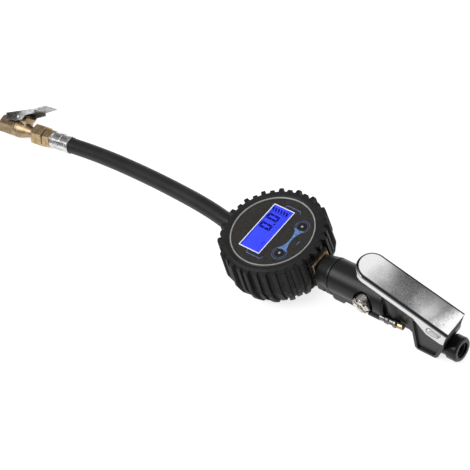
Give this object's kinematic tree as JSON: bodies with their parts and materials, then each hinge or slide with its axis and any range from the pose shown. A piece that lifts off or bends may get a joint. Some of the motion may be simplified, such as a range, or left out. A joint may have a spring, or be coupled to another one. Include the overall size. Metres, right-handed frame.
{
  "type": "tyre inflator",
  "caption": "Hand-held tyre inflator with a digital gauge in a ribbed rubber boot, squeeze lever handle, short rubber hose and clip-on chuck",
  "frame": {"origin": "middle of the flat back of the gauge's rubber boot", "axes": "+Z out of the display, +X along the handle towards the air inlet, +Y to the right of the reading on the display"},
  "size_m": [0.4473, 0.0812, 0.0643],
  "materials": {
    "boot_rubber": "matte moulded rubber",
    "black_plastic": "satin glass-filled nylon",
    "steel": "plain steel",
    "battery_can": "satin sleeve",
    "board_green": "solder mask",
    "brass": "turned brass",
    "display_blue": "backlit display glass",
    "clear_window": "clear pane",
    "face_black": "fine-grained printed overlay",
    "satin_silver": "satin silver",
    "button_black": "satin key cap",
    "chrome": "polished chrome on pressed steel",
    "nickel": "nickel plate on turned brass",
    "black_metal": "black anodised",
    "seal_rubber": "smooth seal rubber",
    "hose_rubber": "smooth extruded rubber",
    "zinc_steel": "bright zinc plate"
  },
  "bodies": {
    "tool": {"rubber_boot": "boot_rubber", "gauge_case": "black_plastic", "battery_door": "black_plastic", "battery_door_screw": "steel", "batteries": "battery_can", "circuit_board": "board_green", "board_screws": "steel", "pressure_sensor": "steel", "manifold_block": "brass", "hose_barb": "brass", "lcd_module": "display_blue", "lcd_window": "clear_window", "face_panel": "face_black", "bezel_ring": "satin_silver", "front_collar": "black_plastic", "handle_body": "black_plastic", "lever_pivot_pin": "steel", "valve_spring": "steel", "valve_seat": "seal_rubber", "gland_nut": "nickel", "gland_pin": "brass", "bleed_valve_body": "nickel", "inlet_bushing": "black_metal", "inlet_filter": "steel", "hose": "hose_rubber", "hose_ferrule": "zinc_steel", "hose_nipple": "brass", "swivel_nut": "brass", "chuck_body": "brass", "chuck_lever_pin": "steel", "chuck_spring": "steel", "chuck_seal": "seal_rubber", "chuck_depressor": "brass"},
    "lever": {"trigger_lever": "chrome"},
    "valve_stem": {"valve_stem": "brass"},
    "bleed_button": {"bleed_button": "brass"},
    "power_button": {"power_button": "button_black"},
    "unit_button": {"unit_button": "button_black"},
    "chuck_lever": {"chuck_lever": "zinc_steel"}
  },
  "joints": [
    {"name": "lever_hinge", "type": "hinge", "parent": "tool", "child": "lever", "pos_m": [0.1426, 0, 0.028], "axis": [0, -1, 0], "range_deg": [0, 8], "stiffness_Nm_per_rad": 0.8, "springref_deg": -11.46},
    {"name": "valve_slide", "type": "slide", "parent": "tool", "child": "valve_stem", "axis": [0, 0, -1], "range_m": [0, 0.006], "deforming": ["valve_spring"]},
    {"name": "bleed_press", "type": "slide", "parent": "tool", "child": "bleed_button", "axis": [-1, 0, 0], "range_m": [0, 0.001], "stiffness_N_per_m": 400, "springref_m": -0.001},
    {"name": "power_press", "type": "slide", "parent": "tool", "child": "power_button", "axis": [0, 0, -1], "range_m": [0, 0.0004], "stiffness_N_per_m": 500, "springref_m": -0.0005},
    {"name": "unit_press", "type": "slide", "parent": "tool", "child": "unit_button", "axis": [0, 0, -1], "range_m": [0, 0.0004], "stiffness_N_per_m": 500, "springref_m": -0.0005},
    {"name": "chuck_hinge", "type": "hinge", "parent": "tool", "child": "chuck_lever", "pos_m": [-0.27449, 0.00608, 0.02196], "axis": [-0.0652, 0.5699, -0.8192], "range_deg": [0, 14], "stiffness_Nm_per_rad": 0.3, "springref_deg": -17.19}
  ],
  "couplings": [
    {"joint": "valve_slide", "follows": "lever_hinge", "m_per_rad": 0.04228}
  ]
}
